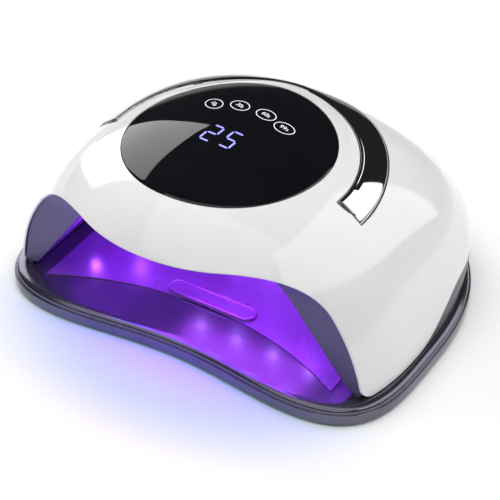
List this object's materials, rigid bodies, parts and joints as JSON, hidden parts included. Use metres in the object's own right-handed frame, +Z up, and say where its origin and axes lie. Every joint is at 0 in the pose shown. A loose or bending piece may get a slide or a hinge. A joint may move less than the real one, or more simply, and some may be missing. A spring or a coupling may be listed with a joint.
{
  "type": "uv led nail lamp",
  "caption": "Domed nail lamp housing over a shallow tray, with a mirror hand cavity, lamp beads, a round display window and a folding carrying strap.",
  "frame": {"origin": "centre of the footprint's bounding box on the bench, at the faces of the rubber feet", "axes": "+Z up, +X across the mouth to the right-hand side as seen from the back, -Y out of the mouth towards the user, +Y to the back"},
  "size_m": [0.225, 0.1994, 0.1065],
  "materials": {
    "white_plastic": "glossy white housing plastic",
    "dark_plastic": "satin near-black moulding",
    "tray_plastic": "glossy gun-metal plastic",
    "inner_plastic": "plain dark moulding",
    "mirror_liner": "vacuum-metallised reflector",
    "mirror_floor": "vacuum-metallised plate",
    "dark_window": "smoked glossy window",
    "chrome_strap": "mirror-plated plastic",
    "steel": "plated steel",
    "spring_steel": "bright wire",
    "rubber": "soft matte rubber",
    "board": "green circuit board",
    "light_board": "white-lacquered aluminium board",
    "digit_block": "dark segment block",
    "chip": "moulded black",
    "lead_sleeve": "soft insulation",
    "lamp_bead": "clear silicone lens",
    "sensor": "dark infrared lens block",
    "capacitor": "sleeved can",
    "coil": "lacquered winding",
    "jack": "moulded black"
  },
  "bodies": {
    "tray": {"base_tray": "tray_plastic", "floor_reflector": "mirror_floor", "finger_rest_bar": "mirror_floor", "tray_bottom_plate": "inner_plastic", "tray_screws": "steel", "rubber_feet": "rubber", "catch_plates": "steel"},
    "housing": {"top_cover": "white_plastic", "lower_frame": "dark_plastic", "front_bezel": "dark_plastic", "reflector_liner": "mirror_liner", "display_window": "dark_window", "window_gasket": "rubber", "display_board": "board", "display_screws": "steel", "digit_display": "digit_block", "touch_springs": "spring_steel", "control_chip": "chip", "display_ribbon": "lead_sleeve", "ribbon_connectors": "inner_plastic", "led_board_top": "light_board", "led_board_left": "light_board", "led_board_right": "light_board", "led_board_back": "light_board", "led_beads": "lamp_bead", "hand_sensor": "sensor", "driver_board": "board", "capacitors": "capacitor", "inductor": "coil", "power_chips": "chip", "light_leads": "lead_sleeve", "power_jack": "jack", "holding_magnets": "steel", "frame_screws": "steel", "strap_pins": "steel"},
    "strap": {"carry_strap": "chrome_strap"}
  },
  "joints": [
    {"name": "housing_lift", "type": "slide", "parent": "tray", "child": "housing", "axis": [0, 0, 1], "range_m": [0, 0.06]},
    {"name": "strap_hinge", "type": "hinge", "parent": "housing", "child": "strap", "pos_m": [0, -0.0235, 0.085], "axis": [1, 0, 0], "range_deg": [0, 80]}
  ]
}
